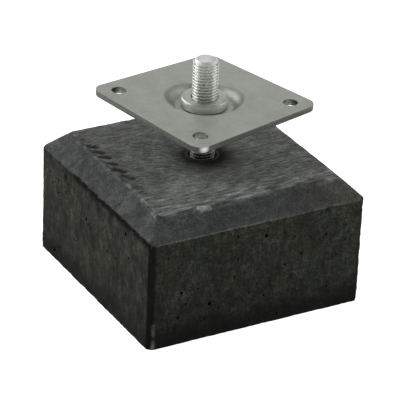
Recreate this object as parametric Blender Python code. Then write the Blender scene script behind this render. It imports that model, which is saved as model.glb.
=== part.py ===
"""Concrete footing with a threaded rod and a post plate that screws up and down.

Metres, +Z up. The origin is the centre of the block's underside. The block's sides
lie along X and Y, and the rod stands on the Z axis.
"""
import bmesh
import bpy
from math import ceil, cos, pi, radians, sin, tau

# Concrete block
block_side = 0.150
block_height = 0.084
top_chamfer = 0.0125
corner_arris = 0.003

# Sleeve cast into the block
socket_diameter = 0.022
socket_bore_depth = 0.045
socket_floor = 0.003

# Rod
rod_diameter = 0.016
rod_length = 0.110
thread_pitch = 0.002
thread_depth = 0.00123
rod_end_chamfer = 0.002
thread_below_rim = 0.003

# Post plate
plate_side = 0.100
plate_thickness = 0.004
plate_corner_radius = 0.008
plate_gap = 0.0348
plate_turn = radians(13.5)
hole_diameter = 0.009
hole_inset = 0.0125
dish_diameter = 0.050
dish_floor_diameter = 0.041
dish_depth = 0.0052

# Threaded collar in the dish
collar_diameter = 0.029
collar_height = 0.0059
collar_chamfer = 0.0008
spigot_diameter = 0.024

# Clearances between neighbours
seat_gap = 0.0003
thread_clearance = 0.0003

# Facets of the round shapes
round_steps = 48
corner_steps = 6
hole_steps = 24
thread_steps = 20
dish_steps = 6
cut_margin = 0.002

# Levels that follow from the sizes above
socket_floor_top = block_height - socket_bore_depth
rod_foot = socket_floor_top + seat_gap
rod_top = rod_foot + rod_length
thread_foot = block_height - thread_below_rim
plate_underside = block_height + plate_gap
plate_top = plate_underside + plate_thickness
dish_floor = plate_top - dish_depth
collar_seat = dish_floor + seat_gap


def clear_scene():
    for old in list(bpy.data.objects):
        bpy.data.objects.remove(old, do_unlink=True)


def finish_material(name, colour, roughness, metallic=0.0):
    material = bpy.data.materials.new(name)
    material.use_nodes = True
    shader = material.node_tree.nodes["Principled BSDF"]
    shader.inputs["Base Color"].default_value = (*colour, 1.0)
    shader.inputs["Roughness"].default_value = roughness
    shader.inputs["Metallic"].default_value = metallic
    return material


def add_object(name, mesh_builder, material=None, smooth_angle=None):
    """Make a named object from a bmesh, with its faces pointing out."""
    bmesh.ops.recalc_face_normals(mesh_builder, faces=mesh_builder.faces)
    mesh = bpy.data.meshes.new(name)
    mesh_builder.to_mesh(mesh)
    mesh_builder.free()
    piece = bpy.data.objects.new(name, mesh)
    bpy.context.collection.objects.link(piece)
    if material is not None:
        mesh.materials.append(material)
    if smooth_angle is not None:
        mesh.shade_smooth()
        mesh.set_sharp_from_angle(angle=smooth_angle)
    return piece


def cut(piece, cutter):
    """Take the cutter's shape out of the piece, and keep the cutter as a guide."""
    cutter.hide_render = True
    cutter.display_type = "WIRE"
    boolean = piece.modifiers.new("cut " + cutter.name, "BOOLEAN")
    boolean.operation = "DIFFERENCE"
    boolean.solver = "EXACT"
    boolean.object = cutter


def loft(rings, closed_ends=True):
    """Join rings of equally many points, one above the other, into a closed shell."""
    shell = bmesh.new()
    levels = [[shell.verts.new(point) for point in ring] for ring in rings]
    count = len(levels[0])
    for lower, upper in zip(levels, levels[1:]):
        for i in range(count):
            j = (i + 1) % count
            shell.faces.new((lower[i], lower[j], upper[j], upper[i]))
    if closed_ends:
        shell.faces.new(reversed(levels[0]))
        shell.faces.new(levels[-1])
    return shell


def lathe(profile, steps=round_steps, closed_loop=False):
    """Turn (radius, height) points round the Z axis; a closed loop makes a ring."""
    rings = [
        [(r * cos(tau * i / steps), r * sin(tau * i / steps), z) for i in range(steps)]
        for r, z in profile
    ]
    if closed_loop:
        rings.append(rings[0])
    shell = loft(rings, closed_ends=not closed_loop)
    bmesh.ops.remove_doubles(shell, verts=shell.verts, dist=1e-6)
    return shell


def cut_corner_square(side, arris, z):
    """A square with its corners cut off, anticlockwise from above."""
    half = side / 2
    near = half - arris
    quarter = [(half, -near), (half, near)]
    points = []
    for turn in range(4):
        c, s = cos(turn * pi / 2), sin(turn * pi / 2)
        points += [(x * c - y * s, x * s + y * c, z) for x, y in quarter]
    return points


def rounded_square(side, radius, z, turn):
    """A square with rounded corners, turned about the Z axis."""
    centre = side / 2 - radius
    points = []
    for corner in range(4):
        for step in range(corner_steps + 1):
            angle = pi / 2 * (corner + step / corner_steps)
            cx = centre * (1 if corner in (0, 3) else -1)
            cy = centre * (1 if corner in (0, 1) else -1)
            x = cx + radius * cos(angle)
            y = cy + radius * sin(angle)
            points.append((x * cos(turn) - y * sin(turn), x * sin(turn) + y * cos(turn), z))
    return points


def dish_curve(lift):
    """The pressed dish's S-shaped wall, from its lip in to its floor."""
    lip, floor = dish_diameter / 2, dish_floor_diameter / 2
    points = []
    for step in range(dish_steps + 1):
        part = step / dish_steps
        fall = dish_depth * (1 - cos(pi * part)) / 2
        points.append((lip + (floor - lip) * part, plate_top + lift - fall))
    return points


def make_block(material):
    shoulder = block_height - top_chamfer
    top_side = block_side - 2 * top_chamfer
    shell = loft([
        cut_corner_square(block_side, corner_arris, 0.0),
        cut_corner_square(block_side, corner_arris, shoulder),
        cut_corner_square(top_side, corner_arris, block_height),
    ])
    block = add_object("concrete_block", shell, material)
    pocket_radius = socket_diameter / 2 + seat_gap
    pocket_floor = socket_floor_top - socket_floor - seat_gap
    pocket = add_object("socket pocket", lathe([
        (pocket_radius, pocket_floor),
        (pocket_radius, block_height + cut_margin),
    ]))
    cut(block, pocket)
    return block


def make_socket(material):
    outer = socket_diameter / 2
    bore = rod_diameter / 2 + thread_clearance
    shell = lathe([
        (outer, socket_floor_top - socket_floor),
        (outer, block_height),
        (bore, block_height),
        (bore, socket_floor_top),
    ])
    return add_object("threaded_socket", shell, material, radians(40))


def thread_radius(z, turn_part):
    """Radius of the thread at a height: crests one pitch apart along the helix."""
    phase = ((z - thread_foot) / thread_pitch - turn_part) % 1.0
    from_root = 1 - abs(2 * phase - 1)
    crest = rod_diameter / 2
    return crest - thread_depth * (1 - from_root)


def make_rod(material):
    """A helix of crests and roots, cut off flat and chamfered at the top."""
    turns = ceil((rod_top - thread_foot) / thread_pitch) + 2
    rows = 2 * turns
    shank = rod_diameter / 2 - thread_depth

    def helix_point(i, row):
        part = i / thread_steps
        z = thread_foot + thread_pitch * (part - 1 + row / 2)
        z = min(max(z, thread_foot), rod_top)
        end_limit = rod_diameter / 2 - rod_end_chamfer + (rod_top - z)
        r = min(thread_radius(z, part), end_limit)
        return (r * cos(tau * part), r * sin(tau * part), z)

    shell = bmesh.new()
    grid = [[shell.verts.new(helix_point(i, row)) for row in range(rows + 2)]
            for i in range(thread_steps)]
    for i in range(thread_steps):
        last = i == thread_steps - 1
        here = grid[i]
        beside = grid[0][2:] if last else grid[i + 1]
        for row in range(len(beside) - 1):
            shell.faces.new((here[row], beside[row], beside[row + 1], here[row + 1]))
    bmesh.ops.remove_doubles(shell, verts=shell.verts, dist=1e-6)
    bmesh.ops.dissolve_degenerate(shell, edges=shell.edges, dist=1e-6)
    top_edges = [e for e in shell.edges if e.is_boundary
                 and all(abs(v.co.z - rod_top) < 1e-6 for v in e.verts)]
    bmesh.ops.contextual_create(shell, geom=top_edges)
    foot_edges = [e for e in shell.edges if e.is_boundary]
    shank_ring = [shell.verts.new((shank * cos(tau * i / thread_steps),
                                   shank * sin(tau * i / thread_steps), rod_foot))
                  for i in range(thread_steps)]
    shank_edges = [shell.edges.new((shank_ring[i], shank_ring[(i + 1) % thread_steps]))
                   for i in range(thread_steps)]
    bmesh.ops.bridge_loops(shell, edges=foot_edges + shank_edges)
    bmesh.ops.contextual_create(shell, geom=shank_edges)
    return add_object("threaded_rod", shell, material, radians(30))


def make_plate(material):
    """A slab as deep as the dish, cut down to a pressed sheet of even thickness."""
    floor_underside = dish_floor - plate_thickness
    plate = add_object("mounting_plate", loft([
        rounded_square(plate_side, plate_corner_radius, floor_underside, plate_turn),
        rounded_square(plate_side, plate_corner_radius, plate_top, plate_turn),
    ]), material, radians(30))
    floor_radius = dish_floor_diameter / 2
    cut(plate, add_object("dish hollow", lathe(
        [(floor_radius / 2, dish_floor)] + dish_curve(0.0)[::-1]
        + [(dish_diameter / 2, plate_top + cut_margin)]
    )))
    surround = plate_side
    cut(plate, add_object("plate underside", lathe(
        dish_curve(-plate_thickness)
        + [(floor_radius, floor_underside - cut_margin),
           (surround, floor_underside - cut_margin),
           (surround, plate_underside)],
        closed_loop=True,
    )))
    drill_low = floor_underside - cut_margin
    drill_high = plate_top + cut_margin
    centre_radius = spigot_diameter / 2 + seat_gap
    cut(plate, add_object("centre hole", lathe([(centre_radius, drill_low), (centre_radius, drill_high)])))
    reach = (plate_side / 2 - hole_inset) * 2 ** 0.5
    for number in range(4):
        angle = plate_turn + pi / 4 + number * pi / 2
        drill = lathe([(hole_diameter / 2, drill_low), (hole_diameter / 2, drill_high)], hole_steps)
        bmesh.ops.translate(drill, verts=drill.verts, vec=(reach * cos(angle), reach * sin(angle), 0.0))
        cut(plate, add_object(f"screw hole {number + 1}", drill))
    return plate


def make_collar(material):
    outer = collar_diameter / 2
    bore = rod_diameter / 2 + thread_clearance
    spigot = spigot_diameter / 2
    top = collar_seat + collar_height
    foot = dish_floor - plate_thickness
    shell = lathe([
        (bore, foot),
        (spigot, foot),
        (spigot, collar_seat),
        (outer, collar_seat),
        (outer, top - collar_chamfer),
        (outer - collar_chamfer, top),
        (bore + collar_chamfer, top),
        (bore, top - collar_chamfer),
    ], closed_loop=True)
    return add_object("threaded_collar", shell, material, radians(30))


def add_joint_empty(name, height):
    guide = bpy.data.objects.new(name, None)
    guide.empty_display_size = plate_side / 2
    guide.location = (0.0, 0.0, height)
    bpy.context.collection.objects.link(guide)
    return guide


def parent_keeping_place(child, parent):
    bpy.context.view_layer.update()
    child.parent = parent
    child.matrix_parent_inverse = parent.matrix_world.inverted()


def main():
    clear_scene()
    concrete = finish_material("anthracite concrete", (0.045, 0.046, 0.047), 0.9)
    steel = finish_material("pressed steel", (0.29, 0.31, 0.28), 0.45, 1.0)
    turned_steel = finish_material("turned steel", (0.34, 0.36, 0.34), 0.35, 1.0)
    zinc = finish_material("bright zinc", (0.62, 0.66, 0.62), 0.25, 1.0)
    sleeve_steel = finish_material("sleeve steel", (0.20, 0.20, 0.18), 0.5, 1.0)
    make_block(concrete)
    make_socket(sleeve_steel)
    make_rod(zinc)
    plate = make_plate(steel)
    collar = make_collar(turned_steel)
    height_axis = add_joint_empty("plate height axis", collar_seat)
    turn_axis = add_joint_empty("plate turn axis", collar_seat)
    parent_keeping_place(turn_axis, height_axis)
    parent_keeping_place(collar, height_axis)
    parent_keeping_place(plate, turn_axis)


main()
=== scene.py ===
"""Looks of a concrete footing with a screwed post plate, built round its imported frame."""

from math import atan2, cos, hypot, pi, radians, sin, tau

import bmesh
import bpy
import numpy as np
from mathutils import Matrix, Vector


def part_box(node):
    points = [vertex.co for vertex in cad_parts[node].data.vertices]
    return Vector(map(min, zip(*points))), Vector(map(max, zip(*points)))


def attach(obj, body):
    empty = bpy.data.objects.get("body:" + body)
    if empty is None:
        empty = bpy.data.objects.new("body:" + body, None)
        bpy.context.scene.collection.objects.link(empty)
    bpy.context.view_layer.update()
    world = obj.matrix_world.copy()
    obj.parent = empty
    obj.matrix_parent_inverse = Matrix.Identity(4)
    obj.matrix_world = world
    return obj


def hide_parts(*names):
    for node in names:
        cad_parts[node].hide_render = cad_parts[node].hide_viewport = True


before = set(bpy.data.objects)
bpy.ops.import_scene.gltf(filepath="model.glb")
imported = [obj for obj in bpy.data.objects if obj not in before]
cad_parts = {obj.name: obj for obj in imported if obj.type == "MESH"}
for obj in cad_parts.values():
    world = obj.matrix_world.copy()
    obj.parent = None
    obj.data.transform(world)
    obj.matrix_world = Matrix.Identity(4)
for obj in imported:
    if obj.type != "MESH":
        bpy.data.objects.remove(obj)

bl_info = {
    "name": "Concrete footing",
    "version": (1, 0, 0),
    "blender": (4, 5, 0),
    "location": "3D View > Sidebar > Footing",
    "description": "Builds the surfaces of a cast concrete footing and its adjustable post plate",
    "category": "Object",
}

MM = 0.001
GAP = 0.3 * MM  # between pieces that fit together
# EDGE_TONE darkens the plate's sheared edges: partly the dull sheared steel, partly a painted dark reflection.
EDGE_TONE = 0.19  # of the plate's sheared edges against its faces
FRONT_CORNER = radians(228)  # where the plate's front corner lies, in its own axes

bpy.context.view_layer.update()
BLOCK_LOW, BLOCK_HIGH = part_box("concrete_block")
SOCKET_LOW, SOCKET_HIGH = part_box("threaded_socket")
ROD_LOW, ROD_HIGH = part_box("threaded_rod")
PLATE_LOW, PLATE_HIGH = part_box("mounting_plate")
COLLAR_LOW, COLLAR_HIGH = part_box("threaded_collar")
BLOCK_SIDE = BLOCK_HIGH.x - BLOCK_LOW.x
BLOCK_TOP = BLOCK_HIGH.z
SOCKET_DIAMETER = SOCKET_HIGH.x - SOCKET_LOW.x
ROD_DIAMETER = ROD_HIGH.x - ROD_LOW.x
PLATE_TOP = PLATE_HIGH.z
COLLAR_DIAMETER = COLLAR_HIGH.x - COLLAR_LOW.x


def linear(code):
    """Linear colour with full alpha from an sRGB hex code."""
    channels = [int(code[i:i + 2], 16) / 255 for i in (1, 3, 5)]
    return (*[c / 12.92 if c <= 0.04045 else ((c + 0.055) / 1.055) ** 2.4 for c in channels], 1.0)


def length_property(name, description, millimetres):
    return bpy.props.FloatProperty(
        name=name, description=description, default=millimetres * MM, min=0.0, unit="LENGTH",
        subtype="DISTANCE")


def angle_property(name, description, degrees):
    return bpy.props.FloatProperty(
        name=name, description=description, default=radians(degrees), subtype="ANGLE")


def colour_property(name, description, code):
    return bpy.props.FloatVectorProperty(
        name=name, description=description, default=linear(code), size=4, min=0.0, max=1.0, subtype="COLOR")


class FootingBlockSettings(bpy.types.PropertyGroup):
    """The cast block: its cut edges, its marks and its colours."""

    chamfer: length_property("Top chamfer", "Width of the slope round the top", 12.5)
    arris: length_property("Corner arris", "Cut on each upright corner", 3.0)
    edge_waver: length_property("Edge waver", "How far the trowelled edge wanders", 0.35)
    relief: length_property("Unevenness", "Height of the cast faces' gentle swell", 0.10)
    notch_depth: length_property("Notch depth", "Depth of the trowel's notches by the left edge", 0.55)
    pore_count: bpy.props.IntProperty(
        name="Pores", description="Small air pores scattered over the sides", default=110, min=0)
    # The top, slope and side colours are partly the concrete's own and partly painted light: the top painted
    # paler and the sides darker, as light falls from above.
    top_colour: colour_property("Trowelled top", "Paler cement skin drawn up by the trowel", "#7e807d")
    slope_colour: colour_property("Slope", "Mould-smooth slope round the top", "#525453")
    side_colour: colour_property("Sides", "Pigmented cast sides", "#282a26")
    stain_colour: colour_property("Stain", "Browner clouds in the cast sides", "#292922")


class FootingMetalSettings(bpy.types.PropertyGroup):
    """The rod, the plate and the collar: thread, edges and colours."""

    thread_pitch: length_property("Thread pitch", "Rise of the thread in one turn", 2.0)
    thread_depth: length_property("Thread depth", "From crest to root", 1.23)
    end_chamfer: length_property("Rod end chamfer", "Slope on the rod's top end", 2.0)
    plate_side: length_property("Plate side", "Width of the square plate", 100.0)
    plate_thickness: length_property("Plate thickness", "Thickness of the sheet", 4.0)
    corner_radius: length_property("Plate corner radius", "Rounding of the plate's corners", 8.0)
    hole_diameter: length_property("Screw hole", "Diameter of the four corner holes", 9.0)
    hole_inset: length_property("Hole inset", "From the plate's edges to a hole's centre", 12.5)
    dish_diameter: length_property("Dish lip", "Diameter of the pressed dish at its soft lip", 53.5)
    dish_floor: length_property("Dish floor", "Diameter of the flat floor of the dish", 35.0)
    dish_depth: length_property("Dish depth", "How deep the dish is pressed", 5.2)
    spigot_diameter: length_property("Spigot", "Diameter of the collar's foot in the plate", 24.0)
    plate_turn: angle_property("Plate turn", "Turn of the plate against the block", 13.5)
    plate_warp: length_property("Plate warp", "Lift of two opposite corners of the pressed plate", 1.5)
    plate_lean: bpy.props.FloatVectorProperty(
        name="Plate lean", description="Rise of the plate for each unit along its own X and Y", size=2,
        default=(-0.016, 0.009))
    zinc_colour: colour_property("Zinc", "Bright zinc plating of the rod", "#f6faf3")
    steel_colour: colour_property("Plate steel", "Mill-grey pressed steel", "#c1c4bc")
    collar_colour: colour_property("Collar steel", "Turned steel of the collar", "#dbdfd8")


class FootingStageSettings(bpy.types.PropertyGroup):
    """The floor, the lights and the camera."""

    floor_colour: colour_property("Floor", "Plain pale floor", "#f4f4f2")
    camera_distance: length_property("Camera distance", "From the camera to the footing", 1638.0)
    camera_turn: angle_property("Camera turn", "Turn of the camera round the footing", -29.97)
    camera_height: angle_property("Camera elevation", "Angle of the camera above the floor", 27.58)
    camera_roll: angle_property("Camera roll", "Lean of the camera to one side", 2.5)


def add_node(tree, kind, inputs=(), **settings):
    """Add a node, set its properties, and set or link its inputs, given in order or by name."""
    node = tree.nodes.new(kind)
    for name, value in settings.items():
        setattr(node, name, value)
    for name, value in inputs.items() if isinstance(inputs, dict) else enumerate(inputs):
        if isinstance(value, bpy.types.NodeSocket):
            tree.links.new(value, node.inputs[name])
        else:
            node.inputs[name].default_value = value
    return node


def start_material(name):
    """An empty node material with its tree and the node that says where a point lies."""
    material = bpy.data.materials.new(name)
    material.use_nodes = True
    tree = material.node_tree
    tree.nodes.clear()
    return material, tree, add_node(tree, "ShaderNodeTexCoord")


def finish_material(material, inputs, bump=None):
    """Give the material one surface shader with these inputs, and a bump if there is one: the
    pattern that it follows, its strength and its depth."""
    tree = material.node_tree
    shader = add_node(tree, "ShaderNodeBsdfPrincipled", inputs)
    if bump:
        relief = add_node(tree, "ShaderNodeBump", dict(zip(("Height", "Strength", "Distance"), bump)))
        tree.links.new(relief.outputs["Normal"], shader.inputs["Normal"])
    add_node(tree, "ShaderNodeOutputMaterial", {"Surface": shader.outputs["BSDF"]})
    return material


def grain(tree, place, size_mm, detail=2.0, roughness=0.5, stretch=(1.0, 1.0, 1.0), turn=0.0, shift=0.0):
    """Noise from 0 to 1 whose lumps are about size_mm wide, stretched along turned axes."""
    lump = tuple(size_mm * MM * s for s in stretch)
    mapping = add_node(tree, "ShaderNodeMapping", {
        "Vector": place.outputs["Object"], "Scale": lump, "Rotation": (0.0, 0.0, turn),
        "Location": (shift, shift, shift)}, vector_type="TEXTURE")
    noise = add_node(tree, "ShaderNodeTexNoise", {
        "Vector": mapping.outputs["Vector"], "Scale": 1.0, "Detail": detail, "Roughness": roughness})
    return noise.outputs["Fac"]


def layered(tree, *layers):
    """Product of layers. Each is a tone, or a pattern to spread smoothly: the pattern, its low
    and high end, and the tones that they give, which are 0 and 1 if left out."""
    total = None
    for layer in layers:
        if isinstance(layer, tuple):
            layer = add_node(tree, "ShaderNodeMapRange", layer, interpolation_type="SMOOTHSTEP").outputs[0]
        total = layer if total is None else add_node(
            tree, "ShaderNodeMath", (total, layer), operation="MULTIPLY").outputs[0]
    return total


def covered(tree, below, *covers, kind="FLOAT"):
    """What shows when each (share, cover) is laid over what is below it."""
    first, output = (6, 2) if kind == "RGBA" else (2, 0)
    for share, cover in covers:
        below = add_node(tree, "ShaderNodeMix", {0: share, first: below, first + 1: cover},
                         data_type=kind).outputs[output]
    return below


def tinted(tree, colour, tone):
    """A colour times a grey tone."""
    grey = add_node(tree, "ShaderNodeCombineColor", (tone, tone, tone)).outputs["Color"]
    return add_node(tree, "ShaderNodeMix", {0: 1.0, 6: colour, 7: grey},
                    data_type="RGBA", blend_type="MULTIPLY").outputs[2]


def axis_distance(tree, place):
    """How far the surface lies from the rod's axis."""
    flat = add_node(tree, "ShaderNodeVectorMath", (place.outputs["Object"], (1.0, 1.0, 0.0)),
                    operation="MULTIPLY").outputs[0]
    return add_node(tree, "ShaderNodeVectorMath", (flat,), operation="LENGTH").outputs["Value"]


def cast_concrete(settings):
    """Pigmented concrete cast in a smooth mould and trowelled on top: matt, its pale skin
    drawn into short strokes on the top, its sides mottled, with faint upright runs."""
    material, tree, place = start_material("cast_anthracite_concrete")
    upward = add_node(tree, "ShaderNodeSeparateXYZ", (place.outputs["Normal"],)).outputs["Z"]
    # Colours by which way the surface faces: partly the trowelled skin and cast faces, partly painted light,
    # the top painted paler and the sides darker.
    is_top = layered(tree, (upward, 0.80, 0.93))
    is_slope = layered(tree, (upward, 0.35, 0.55))
    # The first attribute holds real marks together with painted shade, shadow and highlight.
    marks_and_painted_light, sweep, smeared = [add_node(tree, "ShaderNodeAttribute", attribute_name=name).outputs["Fac"]
                            for name in ("marks_and_painted_light", "sweep", "stain")]

    large = grain(tree, place, 40.0, 2.0)
    cloud = grain(tree, place, 9.0, 4.0, 0.6)
    patch = grain(tree, place, 5.0, 2.0, 0.5, shift=0.05)
    mottle = grain(tree, place, 2.8, 4.0, 0.7)
    sand = grain(tree, place, 1.1, 3.0, 0.7)
    run = grain(tree, place, 2.6, 4.0, 0.65, stretch=(1.0, 1.0, 5.0))
    speck = grain(tree, place, 1.8, 2.0, 0.5, shift=0.07)
    straight = grain(tree, place, 1.2, 4.0, 0.66, stretch=(7.0, 1.0, 1.0), turn=radians(2))
    swept = grain(tree, place, 1.2, 4.0, 0.66, stretch=(4.5, 1.0, 1.0), turn=radians(-33), shift=0.03)
    stroke = covered(tree, straight, (sweep, swept))

    is_stained = layered(tree, (grain(tree, place, 16.0, 3.0, 0.6, shift=0.09), 0.40, 0.62))
    slope = covered(tree, settings.slope_colour, (smeared, linear("#4e4d44")), kind="RGBA")
    base = covered(tree, settings.side_colour, (is_stained, settings.stain_colour),
                   (is_slope, slope), (is_top, settings.top_colour), kind="RGBA")
    on_top = layered(tree, (stroke, 0.28, 0.70, 0.42, 1.54), (cloud, 0.30, 0.70, 0.90, 1.10))
    on_slope = layered(tree, (patch, 0.32, 0.68, 0.95, 1.05), (sand, 0.30, 0.70, 0.90, 1.10))
    on_sides = layered(
        tree, (run, 0.30, 0.70, 0.74, 1.26), (sand, 0.30, 0.70, 0.74, 1.26), (mottle, 0.32, 0.68, 0.84, 1.16),
        (speck, 0.58, 0.70, 1.05, 0.45), (patch, 0.32, 0.68, 0.80, 1.20), (cloud, 0.30, 0.70, 0.88, 1.12))
    tone = layered(
        tree, (large, 0.30, 0.70, 0.88, 1.12), (cloud, 0.30, 0.70, 0.87, 1.13),
        (mottle, 0.32, 0.68, 0.82, 1.18), (sand, 0.32, 0.68, 0.76, 1.24),
        covered(tree, on_sides, (is_slope, on_slope), (is_top, on_top)),
        add_node(tree, "ShaderNodeMath", (1.0, marks_and_painted_light), operation="ADD").outputs[0])

    height = layered(tree, is_top, stroke)
    for pattern, share in ((sand, 0.5), (mottle, 0.6)):
        height = add_node(tree, "ShaderNodeMath", (pattern, share, height), operation="MULTIPLY_ADD").outputs[0]
    return finish_material(material, {
        "Base Color": tinted(tree, base, tone), "Roughness": layered(tree, (mottle, 0.3, 0.7, 0.72, 0.9)),
        "Specular IOR Level": 0.08}, bump=(height, 0.7, 0.22 * MM))


def pore_hollow():
    """The inside of an air pore: the same concrete, rough and dusty, painted near-black as shade in the hollow.
    """
    material, tree, place = start_material("concrete_pore")
    dust = (grain(tree, place, 0.5, 2.0), linear("#161614"))
    return finish_material(material, {
        "Base Color": covered(tree, linear("#0a0a09"), dust, kind="RGBA"),
        "Roughness": 0.95, "Specular IOR Level": 0.1})


def pressed_steel(settings):
    """Cold-rolled sheet, blanked and pressed: a satin mill grey with faint scuffs. Its sheared edges are dull,
    torn darker below, and painted darker still as a painted dark reflection; the corner at the front carries a
    painted glint."""
    material, tree, place = start_material("satin_pressed_steel")
    upward = add_node(tree, "ShaderNodeSeparateXYZ", (place.outputs["Normal"],)).outputs["Z"]
    height = add_node(tree, "ShaderNodeSeparateXYZ", (place.outputs["Object"],)).outputs["Z"]
    flatness = add_node(tree, "ShaderNodeMath", (upward,), operation="ABSOLUTE").outputs[0]
    lip = settings.dish_diameter / 2
    is_edge = layered(tree, (flatness, 0.20, 0.45, 1.0, 0.0), (axis_distance(tree, place), lip, lip + 3 * MM))
    depth = add_node(tree, "ShaderNodeMath", (PLATE_TOP, height), operation="SUBTRACT").outputs[0]
    torn_line = add_node(tree, "ShaderNodeMath", (grain(tree, place, 1.2, 2.0), 0.8 * MM, depth),
                         operation="MULTIPLY_ADD").outputs[0]
    is_torn = layered(tree, (torn_line, 1.4 * MM, 2.0 * MM))
    # A painted glint on the rounded face of the front corner.
    angle = settings.plate_turn + FRONT_CORNER
    reach = (settings.plate_side / 2 - settings.corner_radius) * 2 ** 0.5 + settings.corner_radius
    corner = (reach * cos(angle), reach * sin(angle), PLATE_TOP - 2.2 * MM)
    from_corner = add_node(tree, "ShaderNodeVectorMath", (place.outputs["Object"], corner),
                           operation="DISTANCE").outputs["Value"]
    is_painted_glint = layered(tree, (from_corner, 0.8 * MM, 4.4 * MM, 1.0, 0.0))

    cloud = grain(tree, place, 14.0, 3.0, 0.55)
    scuff = grain(tree, place, 0.9, 3.0, 0.6, stretch=(4.0, 1.0, 1.0), turn=radians(-20))
    speck = grain(tree, place, 1.1, 3.0, 0.6)
    tone = layered(tree, (cloud, 0.3, 0.7, 0.93, 1.07), (scuff, 0.3, 0.7, 0.94, 1.06))
    # Edge tone: the dull sheared steel and a painted dark reflection.
    edge_tone = layered(tree, (is_torn, 0.0, 1.0, EDGE_TONE, EDGE_TONE * 0.7), (speck, 0.3, 0.7, 0.8, 1.2))
    tone = covered(tree, tone, (is_edge, covered(tree, edge_tone, (is_painted_glint, 1.05))))
    return finish_material(material, {
        "Base Color": tinted(tree, settings.steel_colour, tone), "Metallic": 1.0,
        "Roughness": layered(tree, (cloud, 0.3, 0.7, 0.44, 0.52))}, bump=(scuff, 0.25, 0.03 * MM))


def sheared_wall():
    """The wall of a punched hole: burnished by the punch above, so lighter than the sheet's edge."""
    material, tree, place = start_material("punched_hole_wall")
    streak = grain(tree, place, 1.0, 3.0, 0.6, stretch=(1.0, 1.0, 4.0))
    return finish_material(material, {
        "Base Color": tinted(tree, linear("#8b8e87"), layered(tree, (streak, 0.3, 0.7, 0.4, 1.0))),
        "Metallic": 1.0, "Roughness": 0.42})


def turned_steel(settings):
    """Steel turned on a lathe: brighter than the sheet, with fine rings round its axis. Its wall is painted
    lighter and its top face darker, as painted light by which way they face."""
    material, tree, place = start_material("turned_collar_steel")
    upward = add_node(tree, "ShaderNodeSeparateXYZ", (place.outputs["Normal"],)).outputs["Z"]
    ring_turn = tau / (0.5 * MM)  # tool marks drawn 0.5 mm apart, coarser than the real ones
    turns = layered(tree, axis_distance(tree, place), ring_turn)
    rings = add_node(tree, "ShaderNodeMath", (turns,), operation="SINE").outputs[0]
    cloud = grain(tree, place, 5.0, 3.0)
    # Painted light: the wall painted lighter and the top face darker, by which way they face.
    tone = layered(tree, (cloud, 0.3, 0.7, 0.90, 1.08), (rings, -1.0, 1.0, 0.96, 1.02),
                   (upward, 0.1, 0.8, 1.25, 0.86))
    return finish_material(material, {
        "Base Color": tinted(tree, settings.collar_colour, tone), "Metallic": 1.0,
        "Roughness": layered(tree, (cloud, 0.3, 0.7, 0.38, 0.46))}, bump=(rings, 0.3, 0.01 * MM))


def bright_zinc(settings):
    """Electroplated zinc on a rolled thread: bright and softly glossy, its sawn end duller and mottled, its
    foot by the concrete painted dark as shade under the plate, its thread roots painted darker and crests
    lighter."""
    material, tree, place = start_material("bright_zinc_plating")
    height = add_node(tree, "ShaderNodeSeparateXYZ", (place.outputs["Object"],)).outputs["Z"]
    cloud = grain(tree, place, 2.0, 3.0, 0.6)
    is_end = layered(tree, (height, ROD_HIGH.z - 2.4 * MM, ROD_HIGH.z - 1.6 * MM))
    crest = ROD_DIAMETER / 2
    # Painted shade and highlight: the thread's roots painted darker, its crests lighter.
    thread = layered(tree, (
        axis_distance(tree, place), crest - settings.thread_depth, crest - 0.2 * MM, 0.55, 1.12))
    # Painted shade: the rod's foot under the plate painted dark.
    tone = layered(tree, (height, BLOCK_TOP + 2 * MM, BLOCK_TOP + 9 * MM, 0.20, 1.0),
                   covered(tree, thread, (is_end, 1.15)), (cloud, 0.3, 0.7, 0.88, 1.04))
    return finish_material(material, {
        "Base Color": tinted(tree, settings.zinc_colour, tone), "Metallic": 1.0,
        "Roughness": covered(tree, layered(tree, (cloud, 0.3, 0.7, 0.22, 0.30)), (is_end, 0.55)),
    }, bump=(cloud, 0.08, 0.04 * MM))


def sleeve_steel():
    """Plain steel sleeve, browned and smeared with cement round its rim, painted near-black as shade under the
    plate.
    """
    material, tree, place = start_material("dull_sleeve_steel")
    cloud = grain(tree, place, 2.0, 3.0, 0.6)
    smears = (layered(tree, (cloud, 0.35, 0.65)), linear("#3a362d"))
    # The near-black base is partly the browned steel, partly painted shade.
    return finish_material(material, {
        "Base Color": covered(tree, linear("#1f1c17"), smears, kind="RGBA"), "Metallic": 0.4,
        "Roughness": layered(tree, (cloud, 0.3, 0.7, 0.55, 0.75))})


def pale_floor(colour):
    """Matt board, lit a little from below as on a photographer's table."""
    material, tree, place = start_material("matt_pale_floor")
    clouds = layered(tree, (grain(tree, place, 90.0, 2.0), 0.3, 0.7, 0.995, 1.0))
    return finish_material(material, {
        "Base Color": tinted(tree, colour, clouds), "Roughness": 0.9, "Specular IOR Level": 0.1,
        "Emission Color": (1.0, 1.0, 1.0, 1.0), "Emission Strength": 1.0})


# Large numbers that scatter a lattice corner's place and the seed into a random value
SCATTER = np.array([73856093, 19349663, 83492791])
SEED_SCATTER = 2654435761
MIXER = 1274126177
VALUE_BITS = 0xFFFFF


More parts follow.
